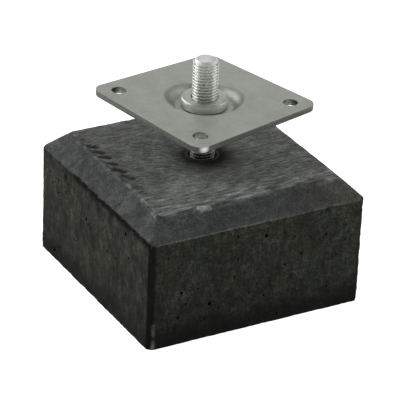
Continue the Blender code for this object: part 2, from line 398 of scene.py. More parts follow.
def lattice_noise(points, cell, seed):
    """Smooth noise from -1 to 1 at each point, its lumps of the given size in millimetres, or
    of one size for each axis."""
    spot = points / (np.broadcast_to(cell, (3,)) * MM)
    base = np.floor(spot).astype(np.int64)
    part = spot - base
    part = part * part * (3 - 2 * part)
    total = np.zeros(len(points))
    for corner in np.ndindex(2, 2, 2):
        where = base + corner
        key = np.bitwise_xor.reduce(where * SCATTER, axis=1) ^ seed * SEED_SCATTER
        key = (key ^ (key >> 13)) * MIXER
        value = ((key ^ (key >> 16)) & VALUE_BITS) / (VALUE_BITS >> 1) - 1
        weight = np.prod(np.where(corner, part, 1 - part), axis=1)
        total += weight * value
    return total


def new_piece(name, mesh, *materials):
    for material in materials:
        mesh.materials.append(material)
    piece = bpy.data.objects.new(name, mesh)
    bpy.context.collection.objects.link(piece)
    return piece


def fix_to_frame(piece, body, node):
    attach(piece, body)
    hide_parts(node)


def shade_round(mesh, angle):
    mesh.shade_smooth()
    mesh.set_sharp_from_angle(angle=radians(angle))


def plain_mesh(piece):
    """The piece's mesh with its modifiers worked in, and the modifiers removed."""
    graph = bpy.context.evaluated_depsgraph_get()
    mesh = bpy.data.meshes.new_from_object(piece.evaluated_get(graph))
    piece.modifiers.clear()
    piece.data = mesh
    return mesh


def cut_away(piece, cutter):
    """Take the cutter's shape out of the piece and remove the cutter."""
    boolean = piece.modifiers.new("cut", "BOOLEAN")
    boolean.operation = "DIFFERENCE"
    boolean.solver = "EXACT"
    boolean.material_mode = "TRANSFER"
    boolean.object = cutter
    bpy.context.view_layer.update()
    mesh = plain_mesh(piece)
    bpy.data.objects.remove(cutter, do_unlink=True)
    return mesh


def closed_mesh(name, points, faces, merge=False):
    """A mesh whose faces all point outwards, its doubled points merged if asked."""
    mesh = bpy.data.meshes.new(name)
    mesh.from_pydata(points, [], faces)
    shell = bmesh.new()
    shell.from_mesh(mesh)
    if merge:
        bmesh.ops.remove_doubles(shell, verts=shell.verts, dist=1e-7)
    bmesh.ops.recalc_face_normals(shell, faces=shell.faces)
    return fill_mesh(mesh, shell)


def fill_mesh(mesh, shell):
    """Put the shell into the mesh and let it go."""
    shell.to_mesh(mesh)
    shell.free()
    return mesh


def band_faces(levels, count):
    """Faces between pairs of rings of count points, each ring given by its first point."""
    return [(here + i, here + (i + 1) % count, there + (i + 1) % count, there + i)
            for here, there in levels for i in range(count)]


def lathe_mesh(name, profile, steps):
    """A closed loop of (radius, height) points turned round the Z axis."""
    count = len(profile)
    points = [(r * cos(tau * i / steps), r * sin(tau * i / steps), z)
              for i in range(steps) for r, z in profile]
    faces = []
    for i in range(steps):
        here, there = i * count, (i + 1) % steps * count
        for j in range(count):
            k = (j + 1) % count
            faces.append((here + j, there + j, there + k, here + k))
    return closed_mesh(name, points, faces, merge=True)


def solid_cylinder(name, radius, low, high, steps, centre=(0.0, 0.0), flare=0.0, materials=()):
    """A cutter: a cylinder that may widen by the flare at its upper end. Its materials, if any,
    stay on the walls that it cuts."""
    shell = bmesh.new()
    levels = [(radius, low), (radius, high)]
    if flare:
        wide = radius + flare
        levels = [(radius, low), (radius, high - flare), (wide, high), (wide, high + 2 * MM)]
    x, y = centre
    rings = [[shell.verts.new((x + r * cos(tau * i / steps), y + r * sin(tau * i / steps), z))
              for i in range(steps)] for r, z in levels]
    for lower, upper in zip(rings, rings[1:]):
        for i in range(steps):
            j = (i + 1) % steps
            shell.faces.new((lower[i], lower[j], upper[j], upper[i]))
    shell.faces.new(reversed(rings[0]))
    shell.faces.new(rings[-1])
    return new_piece(name, fill_mesh(bpy.data.meshes.new(name), shell), *materials)


# The block's surface, worked out on a net of about 1 mm

SIDE_CELLS = 142
ARRIS_CELLS = 4
RING_CELLS = SIDE_CELLS + ARRIS_CELLS
PORE_SEED = 5
GRIT_DEPTH = 0.03 * MM
DRAG_DEPTH = 0.16 * MM
SEAM_DEPTH = 0.8 * MM
WEAR_DEPTH = 0.38 * MM

# Larger pores, by face: distance along it from its middle, height and diameter, in millimetres
LEFT_PORES = [
    (61, 59.6, 1.3), (57.9, 53.2, 1.1), (49.4, 58.3, 1.4), (40.2, 65, 1.3), (48.6, 50.1, 1.1),
    (39.8, 54.3, 1.0), (48.4, 45.5, 1.1), (10.3, 49.8, 2.0), (7.6, 47.2, 1.4), (3.5, 46.5, 1.2),
    (-41.8, 64.5, 1.7), (-30.4, 42.3, 1.1), (-46.8, 50.4, 1.3), (-18.4, 41.1, 1.0), (53.7, 6.8, 2.2),
    (25.5, 27.2, 1.1), (46.6, 11.8, 1.2), (62, 69, 1.0), (-66, 32, 1.0),
]
RIGHT_PORES = [
    (-15.4, 65.3, 1.4), (4.6, 61.6, 2.4), (47.5, 53.4, 1.3), (61.6, 46.3, 1.1), (18.9, 38.5, 1.6),
    (29.9, 44, 1.2), (-16.7, 37.9, 1.3), (50.2, 16.2, 1.2), (-41.7, 35.7, 1.2), (-53.1, 35.4, 1.7),
    (-5.7, 24.4, 1.2), (4.6, 20.4, 1.2), (-33.4, 23.5, 2.3), (-50, 27.1, 1.2), (-55, 18.6, 1.6),
    (-36.7, 13.7, 1.2), (-14.9, 50, 1.2), (14.7, 5.2, 1.1), (-63, 61.5, 1.1),
]

# Notches the trowel left on the top: from x, y to x, y in millimetres, and strength
NOTCHES = [
    (-59.9, 50.9, -56.8, 45.1, 0.6), (-60.2, 40.9, -55.5, 36.0, 0.95), (-60.1, 31.9, -55.6, 27.3, 1.0),
    (-60.1, 23.7, -55.0, 19.6, 1.0), (-59.7, 14.2, -55.2, 10.1, 0.95), (-59.7, 6.4, -55.0, -1.4, 1.0),
    (-59.0, -3.6, -54.7, -11.5, 0.85), (-59.4, -20.5, -56.0, -25.6, 0.5), (-59.2, -28.8, -55.8, -34.8, 0.4),
]

# How far the trowelled top stops short of its slope, along the left and the front edge, in
# millimetres: places along the edge, and the gap at each
LEFT_SHORT = ((-62, -50, -41, -22, 5, 54, 62), (-1.2, -0.8, -0.1, 0.9, 0.7, 0.7, 0.7))
FRONT_SHORT = ((-62, -52, -42, -36, -31, -20, 10, 30, 62), (-0.8, -0.2, 1.2, 2.0, -0.6, 0.6, 0.2, 1.0, 0.4))


def ring_points(half, arris):
    """Outline of a square with cut corners, from the middle of one cut round to it again."""
    steps = ARRIS_CELLS // 2
    near = half - arris
    middle = half - arris / 2
    marks = [((middle, -middle), (half, -near), steps), ((half, -near), (half, near), SIDE_CELLS),
             ((half, near), (middle, middle), steps)]
    side = []
    for start, end, count in marks:
        share = np.linspace(0, 1, count, endpoint=False)[:, None]
        side.append(np.asarray(start) * (1 - share) + np.asarray(end) * share)
    side = np.concatenate(side)
    turned = []
    for quarter in range(4):
        c, s = round(cos(quarter * pi / 2)), round(sin(quarter * pi / 2))
        turned.append(side @ np.array([[c, s], [-s, c]]))
    return np.concatenate(turned)


def top_net(ring):
    """A net of points that fills a ring, blended from its four sides."""
    n = RING_CELLS
    closed = np.concatenate([ring, ring[:1]])
    right, back = closed[0:n + 1], closed[n:2 * n + 1][::-1]
    left, front = closed[2 * n:3 * n + 1][::-1], closed[3 * n:4 * n + 1]
    u = np.linspace(0, 1, n + 1)[:, None, None]
    v = np.linspace(0, 1, n + 1)[None, :, None]
    sides = (1 - v) * front[:, None] + v * back[:, None] + (1 - u) * left[None] + u * right[None]
    corners = ((1 - u) * (1 - v) * front[0] + u * (1 - v) * front[-1]
               + (1 - u) * v * back[0] + u * v * back[-1])
    return sides - corners


def notch_mask(points):
    """1 inside the notches, which widen away from the slope, fading to 0 outside them."""
    mask = np.zeros(len(points))
    for x0, y0, x1, y1, strength in NOTCHES:
        start, run = np.array((x0, y0)) * MM, np.array((x1 - x0, y1 - y0)) * MM
        along = np.clip((points[:, :2] - start) @ run / (run @ run), 0.22, 0.92)
        gap = np.linalg.norm(points[:, :2] - start - along[:, None] * run, axis=1)
        width = (1.7 + 0.7 * along) * MM
        mask = np.maximum(mask, strength * np.clip(2.2 - 1.7 * gap / width, 0, 1))
    return mask * (points[:, 2] > BLOCK_TOP - 1.5 * MM)


def stops_short(points):
    """How far the top's edge lies inside the even slope, by place round the block."""
    x, y = points[:, 0] / MM, points[:, 1] / MM
    left = (-x > np.abs(y)) * np.interp(y, *LEFT_SHORT)
    front = (-y > np.abs(x)) * np.interp(x, *FRONT_SHORT)
    return (left + front) * MM


def block_points(settings):
    """Points of the block's net: the rows up its sides and slope, then the net on its top."""
    half, height = BLOCK_SIDE / 2, BLOCK_TOP
    shoulder = height - settings.chamfer
    up = np.array([0, 0.4, 1.0, *np.arange(2, shoulder / MM - 2.7),
                   *(shoulder / MM - np.array([2.0, 1.5, 1.0, 0.6, 0.25]))]) * MM
    slope = np.array([0, 0.03, 0.08, *np.linspace(0.14, 0.86, 12), 0.92, 0.97, 1.0])
    rows, normals = [], []
    around = ring_points(half, settings.arris)
    outward = np.zeros((len(around), 3))
    face = np.abs(around) > half - 1e-6
    outward[:, :2] = np.where(face.any(1)[:, None], np.sign(around) * face,
                              np.sign(around) / 2 ** 0.5)
    for z in up:
        rows.append(np.column_stack([around, np.full(len(around), z)]))
        normals.append(outward)
    flat_up = np.array([0, 0, 1.0])
    for share in slope:
        ring = ring_points(half - settings.chamfer * share, settings.arris)
        at = np.column_stack([ring, np.full(len(ring), shoulder + settings.chamfer * share)])
        waver = lattice_noise(at, 9, 21) * 0.6 + lattice_noise(at, 3.5, 22) * 0.4
        reach = (stops_short(at) + settings.edge_waver * np.clip(waver, -0.5, 1)) * share ** 3
        at[:, :2] -= outward[:, :2] * reach[:, None]
        rows.append(at)
        normals.append((outward + flat_up) / 2 ** 0.5)
    net = top_net(rows[-1][:, :2])[1:-1, 1:-1].reshape(-1, 2)
    top = np.column_stack([net, np.full(len(net), height)])
    points = np.concatenate([*rows, top])
    directions = np.concatenate([*normals, np.broadcast_to(flat_up, top.shape)])
    return points, directions, len(rows)


def block_relief(points, directions, settings):
    """Move the net's points to the cast surface: swell, sand, worn edges, grooves and notches."""
    swell = lattice_noise(points, 26, 1) * 0.7 + lattice_noise(points, 8, 2) * 0.3
    grit = lattice_noise(points, 2.6, 3)
    lift = settings.relief * (swell - 1.0) + GRIT_DEPTH * (grit - 1)
    on_top = directions[:, 2] > 0.99
    drag = lattice_noise(points, (9, 1.9, 5), 4)
    lift = lift + np.where(on_top, DRAG_DEPTH * (drag - 1), 0)
    lift -= settings.notch_depth * notch_mask(points) * on_top
    lift -= SEAM_DEPTH * seam_mask(points, settings)
    lift -= WEAR_DEPTH * worn_edges(points, settings)
    moved = points + directions * lift[:, None]
    moved[points[:, 2] < 1e-9, 2] = 0
    return moved


def seam_mask(points, settings):
    """1 in the ragged groove below the slope on the left face, which dies out towards the back."""
    middle = BLOCK_TOP - settings.chamfer - (0.9 + 0.6 * lattice_noise(points, 4, 8)) * MM
    width = (1.15 + 0.6 * lattice_noise(points, 2.2, 9)) * MM
    depth = np.clip((38 * MM - points[:, 1]) / (14 * MM), 0, 1) * (points[:, 0] < -BLOCK_SIDE / 2 + 1.2 * MM)
    return depth * np.clip(1.6 * np.exp(-((points[:, 2] - middle) / width) ** 2), 0, 1)


def worn_edges(points, settings):
    """0 away from the block's edges, up to 1 where an edge has crumbled."""
    half, shoulder = BLOCK_SIDE / 2, BLOCK_TOP - settings.chamfer
    reach = 1.3 * MM
    radial = np.abs(points[:, :2]).max(1)
    to_foot = points[:, 2]
    to_shoulder = np.hypot(points[:, 2] - shoulder, radial - half)
    to_top = np.hypot(points[:, 2] - BLOCK_TOP, radial - half + settings.chamfer)
    corner = 2 * half - settings.arris - np.abs(points[:, :2]).sum(1)
    to_corner = np.hypot(radial - half, corner / 2 ** 0.5)
    nearest = np.minimum.reduce([to_foot, to_shoulder * 1.6, to_top * 1.1, to_corner * 1.3])
    crumble = lattice_noise(points, 6, 31) * 0.6 + lattice_noise(points, 2.4, 32) * 0.6
    return np.clip(1 - nearest / reach, 0, 1) * np.clip(0.35 + crumble, 0, 1.2)


def block_mesh(settings):
    points, directions, row_count = block_points(settings)
    moved = block_relief(points, directions, settings)
    n, around = RING_CELLS, 4 * RING_CELLS
    faces = band_faces([(row * around, (row + 1) * around) for row in range(row_count - 1)], around)
    last = (row_count - 1) * around
    first_inner = row_count * around

    def top_index(i, j):
        if i == n:
            return last + j
        if j == n:
            return last + 2 * n - i
        if i == 0:
            return last + 3 * n - j
        if j == 0:
            return last + (3 * n + i) % around
        return first_inner + (i - 1) * (n - 1) + (j - 1)

    faces += [(top_index(i, j), top_index(i + 1, j), top_index(i + 1, j + 1), top_index(i, j + 1))
              for i in range(n) for j in range(n)]
    faces.append(tuple(range(around))[::-1])
    mesh = bpy.data.meshes.new("footing_block")
    mesh.from_pydata(moved.tolist(), [], faces)
    return mesh


def pore_places(settings):
    """Centre, outward direction and radius of every pore."""
    half, shoulder = BLOCK_SIDE / 2, BLOCK_TOP - settings.chamfer
    places = [((-half, y * MM, z * MM), (-1, 0, 0), d * MM * 0.65) for y, z, d in LEFT_PORES]
    places += [((x * MM, -half, z * MM), (0, -1, 0), d * MM * 0.6) for x, z, d in RIGHT_PORES]
    rng = np.random.default_rng(PORE_SEED)
    room = half - settings.arris - 2 * MM
    while len(places) < len(LEFT_PORES) + len(RIGHT_PORES) + settings.pore_count:
        side = rng.integers(4)
        along = rng.uniform(-room, room)
        z = rng.uniform(2.5 * MM, shoulder - 2.5 * MM)
        radius = (0.22 + 0.38 * rng.random() ** 3) * MM
        c, s = round(cos(side * pi / 2)), round(sin(side * pi / 2))
        centre = (half * c - along * s, half * s + along * c, z)
        if all((Vector(centre) - Vector(p)).length > (radius + r) * 1.3 for p, _, r in places):
            places.append((centre, (c, s, 0), radius))
    return places


def pore_cutter(settings, material):
    """All the pores in one cutter: rough little bubbles half sunk in the faces."""
    rng = np.random.default_rng(PORE_SEED + 1)
    shell = bmesh.new()
    for centre, direction, radius in pore_places(settings):
        sphere = bmesh.ops.create_icosphere(shell, subdivisions=2, radius=radius)
        stretch = Vector((1, 1, 1 + 0.5 * rng.random()))
        sink = Vector(direction) * radius * 0.45
        for vertex in sphere["verts"]:
            bulge = 1 + 0.12 * rng.uniform(-1, 1)
            vertex.co = Vector(a * b for a, b in zip(vertex.co * bulge, stretch)) + Vector(centre) - sink
    return new_piece("pore_cutter", fill_mesh(bpy.data.meshes.new("pore_cutter"), shell), material)


def soft_spot(points, centre, size):
    """1 at a centre in millimetres, fading to 0 about one size away from it."""
    gap = (points[:, :len(centre)] / MM - centre) / size
    return np.exp(-(gap ** 2).sum(1))


def write_marks_and_painted_light(mesh, settings):
    """Light and dark marks for the material, as shares to add to its tone, real marks and painted light and
    shade together; where the trowel swept across instead of along the block; and where the front slope is
    stained brown."""
    points = np.empty(len(mesh.vertices) * 3)
    mesh.vertices.foreach_get("co", points)
    points = points.reshape(-1, 3)
    x, y, z = points.T / MM
    half, top = BLOCK_SIDE / 2 / MM, BLOCK_TOP / MM
    chamfer, arris = settings.chamfer / MM, settings.arris / MM
    shoulder = top - chamfer
    high = z > top - 2
    across = np.abs(x) > np.abs(y)

    # Painted shade in the notches and the groove, the pale skin along the top's edge, and the burr along it as
    # painted highlight and painted shadow
    tone = 1 - 0.78 * notch_mask(points + np.array([0, 0, 1 * MM]))
    tone *= 1 - 0.97 * np.clip(1.35 * seam_mask(points, settings), 0, 1)
    to_edge = np.maximum(np.abs(x), np.abs(y)) - half + chamfer + stops_short(points) / MM
    skin = np.clip(0.2 + 0.9 * lattice_noise(points, (7, 3, 3), 41), -0.2, 0.9)
    tone *= 1 + np.exp(-(to_edge / 1.2) ** 2) * high * skin
    # The burr is not modelled: its light lines are a painted highlight and its dark line a painted shadow
    # beside it.
    burr = (-x > np.abs(y)) * high * np.clip((54 + y) / 8, 0, 1) * (y < 50)
    rear = np.clip((y + 20) / 8, 0, 1)
    ridges = ((0.55 * (1 - rear), 0.2, 0.7), (-0.66 * rear, -0.8, 0.6), (0.55 * rear, 0.5, 0.6))
    for share, middle, width in ridges:
        tone *= 1 + burr * share * np.exp(-((to_edge - middle) / width) ** 2)
    front = np.clip((-y - 40) / 18, 0, 1) * high
    tone *= 1 + front * np.clip(0.15 + 0.9 * lattice_noise(points, (9, 1.6, 3), 42), -0.25, 0.9)

    # Clouds on the left and right, a left slope painted lighter as painted light from the left, the front
    # shoulder and the pale smear
    cloud = sum(lattice_noise(points, (size, size, 1.5 * size), seed)
                for size, seed in ((1.8, 51), (3.6, 52), (7.5, 53)))
    tone *= 1 + across * np.where(z < shoulder, 0.42, 0.20) * (z < top - 1) * cloud
    # Painted light: the left slope painted lighter, towards the back most.
    tone *= 1 + (z > shoulder) * (z < top - 1) * across * (0.10 + 0.24 * np.clip((y - 5) / 40, 0, 1))
    ledge = np.exp(-((z - shoulder + 0.1) / 0.55) ** 2) * (-y > half - 2)
    tone *= 1 + np.where(z < shoulder + 0.1, 1.5, 0.5) * ledge * np.interp(x, (-10, 40), (1, 0.2))
    smear = soft_spot(points, (-34.5, -63.6, 82.9), (6.0, 3.2, 2.3))
    tone *= 1 + 3.6 * np.clip(2 * smear * (1.3 + lattice_noise(points, 2.4, 43)) - 0.9, 0, 1)
    tone *= 1 - 0.30 * soft_spot(points, (-20, 38, 84), (26, 16, 3)) * high
    tone *= 1 + 0.35 * soft_spot(points, (-42, -38, 84), (20, 14, 3)) * high
    tone *= 1 - 0.50 * soft_spot(points, (-75, 58, 5), (3, 9, 6))
    tone *= 1 + 0.16 * soft_spot(points, (62, -70, 78), (34, 9, 9))

    # Painted shade on the cut corners, painted shade darkening the sides towards the foot, and the light chips
    # low on the front corner
    facet = np.clip((2 * half - arris - 0.6 - np.abs(x) - np.abs(y)) / 0.8, 0, 1)
    tone *= np.where(z < shoulder + 1, 0.20 + 0.80 * facet, 0.72 + 0.28 * facet)
    ragged = lattice_noise(points, (9, 9, 4), 44)
    tone *= np.interp(z + 3 * ragged, (8, 17), (0.38, 1)) * np.interp(z + 6 * ragged, (0, 40), (0.58, 1))
    tone *= np.where(-y > half - 1.2, np.interp(x, (-72, 60), (0.84, 1.06)), 1)
    chips = np.interp(z, (2, 12, 21), (3.8, 2.4, 0)) * np.clip(1 + ragged, 0, 2)
    tone += chips * soft_spot(points, (-71.7, -74.8), 0.9)

    # Painted shadow of the plate and dirt round the rod
    from_sleeve = np.maximum(np.hypot(x, y + 3) - SOCKET_DIAMETER / 2 / MM, 0)
    tone *= 1 - 0.90 * np.exp(-(from_sleeve / 10) ** 1.5) * high

    stain = soft_spot(points, (66, -68, 76), (30, 10, 8)) * (-y > half - chamfer)
    stain = 0.5 * np.clip(stain * (1.3 + lattice_noise(points, 6, 61)), 0, 1)
    sweep = soft_spot(points, (-24, 2), (40, 42))
    for name, values in (("marks_and_painted_light", tone - 1), ("sweep", sweep), ("stain", stain)):
        attribute = mesh.attributes.new(name, "FLOAT", "POINT")
        attribute.data.foreach_set("value", values.astype(np.float32))


def make_block(settings):
    concrete, pore = cast_concrete(settings), pore_hollow()
    block = new_piece("footing_block", block_mesh(settings), concrete, pore)
    pocket_radius = SOCKET_DIAMETER / 2 + GAP
    cut_away(block, solid_cylinder(
        "socket_pocket", pocket_radius, SOCKET_LOW.z - GAP, BLOCK_TOP + 2 * MM, 72))
    mesh = cut_away(block, pore_cutter(settings, pore))
    write_marks_and_painted_light(mesh, settings)
    shade_round(mesh, 31)
    fix_to_frame(block, "footing", "concrete_block")


# The plate's sheet, drawn as rings from its centre hole out to its edge and back below

SIDE_STEPS = 30
CORNER_STEPS = 14
DISH_STEPS = 20


def plate_outline(settings, inset):
    """The plate's rounded square, drawn in by an inset, in the plate's own axes."""
    radius = settings.corner_radius - inset
    centre = settings.plate_side / 2 - settings.corner_radius
    points = []
    for corner in range(4):
        c, s = round(cos(corner * pi / 2)), round(sin(corner * pi / 2))
        run = [(centre + radius, centre * (2 * i / SIDE_STEPS - 1)) for i in range(SIDE_STEPS)]
        bends = [pi / 2 * i / CORNER_STEPS for i in range(CORNER_STEPS)]
        run += [(centre + radius * cos(bend), centre + radius * sin(bend)) for bend in bends]
        points += [(x * c - y * s, x * s + y * c) for x, y in run]
    return points


def plate_rings(settings):
    """Each ring as its points and its height, once round the sheet's cross-section."""
    top = PLATE_TOP
    below = top - settings.plate_thickness
    floor = top - settings.dish_depth
    floor_below = floor - settings.plate_thickness
    bore = settings.spigot_diameter / 2 + GAP
    angles = [atan2(y, x) for x, y in plate_outline(settings, 0.0)]

    def circle(radius, z):
        return [(radius * cos(a), radius * sin(a)) for a in angles], z

    def outline(inset, z):
        return plate_outline(settings, inset), z

    def dish(lift):
        lip, inner = settings.dish_diameter / 2, settings.dish_floor / 2
        return [circle(lip + (inner - lip) * i / DISH_STEPS,
                       top + lift - settings.dish_depth * (1 - cos(pi * (i / DISH_STEPS) ** 1.3)) / 2)
                for i in range(DISH_STEPS + 1)]

    def across_flat(z):
        inner, outer = circle(settings.dish_diameter / 2 + 1.5 * MM, z)[0], outline(3 * MM, z)[0]
        return [([(a + (c - a) * share, b + (d - b) * share) for (a, b), (c, d) in zip(inner, outer)], z)
                for share in (0.0, 0.25, 0.5, 0.75, 1.0)]

    upper = [circle(bore, floor), circle(bore + 1.5 * MM, floor)] + dish(0.0)[::-1]
    upper += across_flat(top) + [outline(0.6 * MM, top)]
    edge = [outline(0.28 * MM, top - 0.03 * MM), outline(0.08 * MM, top - 0.12 * MM),
            outline(0.0, top - 0.32 * MM), outline(0.0, top - 1.2 * MM),
            outline(0.05 * MM, below + 0.5 * MM), outline(0.12 * MM, below + 0.1 * MM),
            outline(0.28 * MM, below)]
    lower = across_flat(below)[::-1]
    lower += dish(-settings.plate_thickness)
    lower += [circle(bore + 1.5 * MM, floor_below), circle(bore, floor_below)]
    return upper + edge + lower


def bend_plate(mesh, settings):
    """Lean and warp the flat round the dish, as the press left it."""
    half = settings.plate_side / 2
    own_axes = Matrix.Rotation(-settings.plate_turn, 2)
    for vertex in mesh.vertices:
        x, y = own_axes @ vertex.co.xy
        share = min(max((hypot(x, y) - 16 * MM) / (14 * MM), 0), 1)
        rise = settings.plate_lean[0] * x + settings.plate_lean[1] * y - settings.plate_warp * x * y / half ** 2
        vertex.co.z += rise * share * share * (3 - 2 * share)


def make_plate(settings):
    rings = plate_rings(settings)
    turn = settings.plate_turn
    points = [(x * cos(turn) - y * sin(turn), x * sin(turn) + y * cos(turn), z)
              for ring, z in rings for x, y in ring]
    count = len(rings[0][0])
    levels = [(level * count, (level + 1) % len(rings) * count) for level in range(len(rings))]
    faces = band_faces(levels, count)
    plate = new_piece("post_plate", closed_mesh("post_plate", points, faces), pressed_steel(settings))
    wall = sheared_wall()
    reach = (settings.plate_side / 2 - settings.hole_inset) * 2 ** 0.5
    for number in range(4):
        angle = turn + pi / 4 + number * pi / 2
        cut_away(plate, solid_cylinder(
            "screw_hole_cutter", settings.hole_diameter / 2, PLATE_LOW.z - 2 * MM, PLATE_TOP + 0.01 * MM, 48,
            (reach * cos(angle), reach * sin(angle)), flare=0.3 * MM, materials=[wall]))
    bend_plate(plate.data, settings)
    shade_round(plate.data, 35)
    fix_to_frame(plate, "plate", "mounting_plate")


def make_collar(settings):
    """A turned nut: a flange seated in the dish, with a spigot down through the plate."""
    outer, bore = COLLAR_DIAMETER / 2, ROD_DIAMETER / 2 + GAP
    spigot = settings.spigot_diameter / 2
    seat = PLATE_TOP - settings.dish_depth + GAP
    top, foot = COLLAR_HIGH.z, COLLAR_LOW.z
    profile = [
        (bore + 0.3 * MM, foot), (spigot - 0.4 * MM, foot), (spigot, foot + 0.4 * MM), (spigot, seat),
        (outer - 0.35 * MM, seat), (outer - 0.1 * MM, seat + 0.1 * MM), (outer, seat + 0.35 * MM),
        (outer, top - 1.0 * MM), (outer - 0.08 * MM, top - 0.82 * MM), (outer - 0.82 * MM, top - 0.08 * MM),
        (outer - 1.0 * MM, top), (outer - 3.0 * MM, top), (bore + 0.5 * MM, top),
        (bore + 0.35 * MM, top - 0.05 * MM), (bore + 0.05 * MM, top - 0.35 * MM), (bore, top - 0.5 * MM),
        (bore, foot + 0.3 * MM),
    ]
    mesh = lathe_mesh("screw_collar", profile, 96)
    collar = new_piece("screw_collar", mesh, turned_steel(settings))
    shade_round(mesh, 28)
    fix_to_frame(collar, "collar", "threaded_collar")


def make_sleeve():
    """The cast-in sleeve: a tube closed below, with a rounded rim flush with the block."""
    outer, bore = SOCKET_DIAMETER / 2, ROD_DIAMETER / 2 + GAP
    top, low = SOCKET_HIGH.z, SOCKET_LOW.z
    floor = low + 3.0 * MM
    profile = [
        (0.0, low), (outer - 0.3 * MM, low), (outer, low + 0.3 * MM), (outer, top - 0.3 * MM),
        (outer - 0.09 * MM, top - 0.09 * MM), (outer - 0.3 * MM, top), (bore + 0.9 * MM, top),
        (bore + 0.1 * MM, top - 0.9 * MM), (bore, top - 1.2 * MM), (bore, floor), (0.0, floor),
    ]
    mesh = lathe_mesh("cast_in_sleeve", profile, 96)
    sleeve = new_piece("cast_in_sleeve", mesh, sleeve_steel())
    shade_round(mesh, 30)
    fix_to_frame(sleeve, "footing", "threaded_socket")


THREAD_STEPS = 72
ROWS_PER_PITCH = 12


def work_out(tree, parts, *steps):
    """Work out the steps of a calculation and add each to the parts: a name, an operation and
    its terms, which are numbers or the names of parts."""
    for name, operation, *terms in steps:
        parts[name] = add_node(tree, "ShaderNodeMath", [parts.get(term, term) for term in terms],
                               operation=operation).outputs[0]


def thread_tree():
    """Node tree for a rod: a fine cylinder pushed in and out along the helix of its thread."""
    tree = bpy.data.node_groups.new("rod_thread", "GeometryNodeTree")
    tree.interface.new_socket("Geometry", in_out="OUTPUT", socket_type="NodeSocketGeometry")
    sizes = [("Radius", "Float"), ("Foot", "Float"), ("Top", "Float"), ("Pitch", "Float"), ("Depth", "Float"),
             ("End Chamfer", "Float"), ("Rows", "Int"), ("Steps", "Int"), ("Finish", "Material")]
    for name, kind in sizes:
        tree.interface.new_socket(name, in_out="INPUT", socket_type="NodeSocket" + kind)
    given = add_node(tree, "NodeGroupInput").outputs
    position = add_node(tree, "GeometryNodeInputPosition").outputs[0]
    place = add_node(tree, "ShaderNodeSeparateXYZ", (position,)).outputs
    parts = {name: given[name] for name, kind in sizes} | {axis: place[axis] for axis in "XYZ"}
    work_out(
        tree, parts, ("length", "SUBTRACT", "Top", "Foot"), ("ends", "ADD", "Top", "Foot"),
        ("middle", "MULTIPLY", "ends", 0.5), ("angle", "ARCTAN2", "Y", "X"), ("turn", "DIVIDE", "angle", tau),
        ("height", "SUBTRACT", "Z", "Foot"), ("rise", "DIVIDE", "height", "Pitch"),
        ("lead", "SUBTRACT", "rise", "turn"), ("phase", "FRACT", "lead"),
        ("swing", "MULTIPLY_ADD", "phase", 2.0, -1.0), ("flank", "ABSOLUTE", "swing"),
        ("ridge", "SUBTRACT", 1.0, "flank"))
    parts["crest"] = layered(tree, (parts["ridge"], 0.12, 0.90))
    work_out(
        tree, parts, ("valley", "SUBTRACT", 1.0, "crest"), ("cut", "MULTIPLY", "valley", "Depth"),
        ("threaded", "SUBTRACT", "Radius", "cut"), ("below_top", "SUBTRACT", "Top", "Z"),
        ("end", "SUBTRACT", "Radius", "End Chamfer"), ("end_limit", "ADD", "end", "below_top"),
        ("radius", "MINIMUM", "threaded", "end_limit"), ("share", "DIVIDE", "radius", "Radius"),
        ("moved_x", "MULTIPLY", "X", "share"), ("moved_y", "MULTIPLY", "Y", "share"))

    blank = add_node(tree, "GeometryNodeMeshCylinder", {
        "Vertices": given["Steps"], "Side Segments": given["Rows"], "Radius": given["Radius"],
        "Depth": parts["length"]}, fill_type="NGON").outputs["Mesh"]
    lift = add_node(tree, "ShaderNodeCombineXYZ", {"Z": parts["middle"]}).outputs[0]
    lifted = add_node(tree, "GeometryNodeTransform", {"Geometry": blank, "Translation": lift}).outputs[0]
    moved = add_node(tree, "ShaderNodeCombineXYZ", (parts["moved_x"], parts["moved_y"], place["Z"])).outputs[0]
    shaped = add_node(tree, "GeometryNodeSetPosition", {"Geometry": lifted, "Position": moved}).outputs[0]
    real = add_node(tree, "GeometryNodeRealizeInstances", {"Geometry": shaped}).outputs[0]
    finished = add_node(tree, "GeometryNodeSetMaterial", {"Geometry": real, "Material": given["Finish"]})
    add_node(tree, "NodeGroupOutput", (finished.outputs[0],))
    return tree


def make_rod(settings):
    zinc = bright_zinc(settings)
    rod = new_piece("zinc_rod", bpy.data.meshes.new("zinc_rod"))
    tree = thread_tree()
    modifier = rod.modifiers.new("thread", "NODES")
    modifier.node_group = tree
    foot = ROD_LOW.z
    turns = (ROD_HIGH.z - foot) / settings.thread_pitch
    values = {
        "Radius": ROD_DIAMETER / 2, "Foot": foot, "Top": ROD_HIGH.z, "Pitch": settings.thread_pitch,
        "Depth": settings.thread_depth, "End Chamfer": settings.end_chamfer,
        "Rows": round(turns * ROWS_PER_PITCH), "Steps": THREAD_STEPS, "Finish": zinc,
    }
    for item in tree.interface.items_tree:
        if item.in_out == "INPUT":
            modifier[item.identifier] = values[item.name]
    bpy.context.view_layer.update()
    mesh = plain_mesh(rod)
    shade_round(mesh, 50)
    fix_to_frame(rod, "footing", "threaded_rod")


AIM = Vector((0.0, 0.0, 80 * MM))  # where the camera and the softboxes point
IMAGE_SIDE = 410.0  # pixels
FOCAL_PIXELS = 2622.665
SENSOR = 36.0  # millimetres
CAMERA_SHIFT = (1.921 * MM, -28.391 * MM)  # to the right and up, in the picture's plane
ROOM_LIGHT = 0.23
SOFTBOX_DISTANCE = 1.6
FLOOR_REACH = 3.0  # from its middle to each side
FLOOR_DROP = 0.2 * MM  # below the block's underside

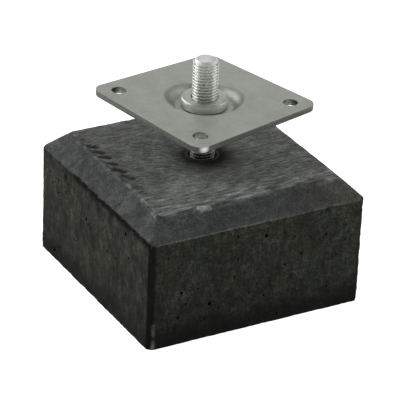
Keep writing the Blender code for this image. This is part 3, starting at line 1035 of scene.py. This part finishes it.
# Softboxes: name, turn from the camera and elevation in degrees, width and height in metres,
# and power in watts
SOFTBOXES = (
    ("left_high", -95, 38, (0.8, 0.7), 2.6),
    ("left_low", -95, 15, (0.7, 0.5), 3.2),
    ("back_left_low", -125, 15, (0.7, 0.5), 3.3),
    ("back_high", 180, 62, (0.9, 0.8), 2.6),
    ("back_low", 180, 15, (0.7, 0.5), 0.9),
    ("right_high", 95, 38, (0.8, 0.7), 1.4),
    ("right_low", 95, 15, (0.7, 0.5), 1.2),
    ("back_right_low", 125, 15, (0.7, 0.5), 0.8),
)


def view_direction(turn, elevation):
    """Unit vector from the footing towards a place at that turn and elevation."""
    return Vector((sin(turn) * cos(elevation), -cos(turn) * cos(elevation), sin(elevation)))


def add_softbox(name, turn, elevation, size, power):
    """An area light at that turn and elevation from the footing, aimed back at it."""
    lamp = bpy.data.lights.new(name, "AREA")
    lamp.shape = "RECTANGLE"
    lamp.size, lamp.size_y = size
    lamp.energy = power
    holder = bpy.data.objects.new(name, lamp)
    direction = view_direction(turn, elevation)
    holder.location = AIM + direction * SOFTBOX_DISTANCE
    holder.rotation_euler = (-direction).to_track_quat("-Z", "Y").to_euler()
    bpy.context.collection.objects.link(holder)


def make_stage(settings):
    shell = bmesh.new()
    bmesh.ops.create_grid(shell, x_segments=8, y_segments=8, size=FLOOR_REACH)
    bmesh.ops.translate(shell, verts=shell.verts, vec=(0.0, 0.0, -FLOOR_DROP))
    mesh = fill_mesh(bpy.data.meshes.new("floor"), shell)
    floor = new_piece("floor", mesh, pale_floor(settings.floor_colour))

    world = bpy.data.worlds.new("studio")
    bpy.context.scene.world = world
    world.use_nodes = True
    backdrop = world.node_tree.nodes["Background"]
    backdrop.inputs["Color"].default_value = (1.0, 1.0, 1.0, 1.0)
    backdrop.inputs["Strength"].default_value = ROOM_LIGHT
    for name, turn, elevation, size, power in SOFTBOXES:
        add_softbox(name, settings.camera_turn + radians(turn), radians(elevation), size, power)

    camera_data = bpy.data.cameras.new("camera")
    camera_data.sensor_width = SENSOR
    camera_data.lens = FOCAL_PIXELS * SENSOR / IMAGE_SIDE
    camera = bpy.data.objects.new("camera", camera_data)
    bpy.context.collection.objects.link(camera)
    bpy.context.scene.camera = camera
    back = view_direction(settings.camera_turn, settings.camera_height)
    level = Vector((cos(settings.camera_turn), sin(settings.camera_turn), 0.0))
    rise = back.cross(level)
    c, s = cos(settings.camera_roll), sin(settings.camera_roll)
    right, upward = c * level + s * rise, c * rise - s * level
    place = AIM + back * settings.camera_distance + right * CAMERA_SHIFT[0] + upward * CAMERA_SHIFT[1]
    camera.matrix_world = Matrix.Translation(place) @ Matrix((right, upward, back)).transposed().to_4x4()
    bpy.context.scene.view_settings.view_transform = "Standard"


class FOOTING_OT_block(bpy.types.Operator):
    """Build the cast concrete block with its trowel marks, worn edges and pores"""

    bl_idname = "footing.block"
    bl_label = "Concrete block"

    def execute(self, context):
        make_block(context.scene.footing_block)
        return {"FINISHED"}


class FOOTING_OT_rod(bpy.types.Operator):
    """Build the zinc-plated threaded rod and the sleeve it stands in"""

    bl_idname = "footing.rod"
    bl_label = "Threaded rod and sleeve"

    def execute(self, context):
        make_rod(context.scene.footing_metal)
        make_sleeve()
        return {"FINISHED"}


class FOOTING_OT_plate(bpy.types.Operator):
    """Build the pressed post plate with its dish and screw holes"""

    bl_idname = "footing.plate"
    bl_label = "Post plate"

    def execute(self, context):
        make_plate(context.scene.footing_metal)
        return {"FINISHED"}


class FOOTING_OT_collar(bpy.types.Operator):
    """Build the turned collar that carries the plate on the rod"""

    bl_idname = "footing.collar"
    bl_label = "Screw collar"

    def execute(self, context):
        make_collar(context.scene.footing_metal)
        return {"FINISHED"}


class FOOTING_OT_stage(bpy.types.Operator):
    """Lay the floor, hang the lights and set the camera"""

    bl_idname = "footing.stage"
    bl_label = "Floor, lights and camera"

    def execute(self, context):
        make_stage(context.scene.footing_stage)
        return {"FINISHED"}


OPERATORS = (FOOTING_OT_block, FOOTING_OT_rod, FOOTING_OT_plate, FOOTING_OT_collar, FOOTING_OT_stage)


class FOOTING_PT_panel(bpy.types.Panel):
    """Buttons for each step of the footing"""

    bl_label = "Concrete footing"
    bl_idname = "FOOTING_PT_panel"
    bl_space_type = "VIEW_3D"
    bl_region_type = "UI"
    bl_category = "Footing"

    def draw(self, context):
        for operator in OPERATORS:
            self.layout.operator(operator.bl_idname)


SETTINGS = {
    "footing_block": FootingBlockSettings,
    "footing_metal": FootingMetalSettings,
    "footing_stage": FootingStageSettings,
}


def register():
    for group in (*SETTINGS.values(), *OPERATORS, FOOTING_PT_panel):
        bpy.utils.register_class(group)
    for name, group in SETTINGS.items():
        setattr(bpy.types.Scene, name, bpy.props.PointerProperty(type=group))


def unregister():
    for name in SETTINGS:
        delattr(bpy.types.Scene, name)
    for group in (FOOTING_PT_panel, *reversed(OPERATORS), *SETTINGS.values()):
        bpy.utils.unregister_class(group)


def main():
    register()
    bpy.ops.footing.block()
    bpy.ops.footing.rod()
    bpy.ops.footing.plate()
    bpy.ops.footing.collar()
    bpy.ops.footing.stage()


if __name__ == "__main__":
    main()
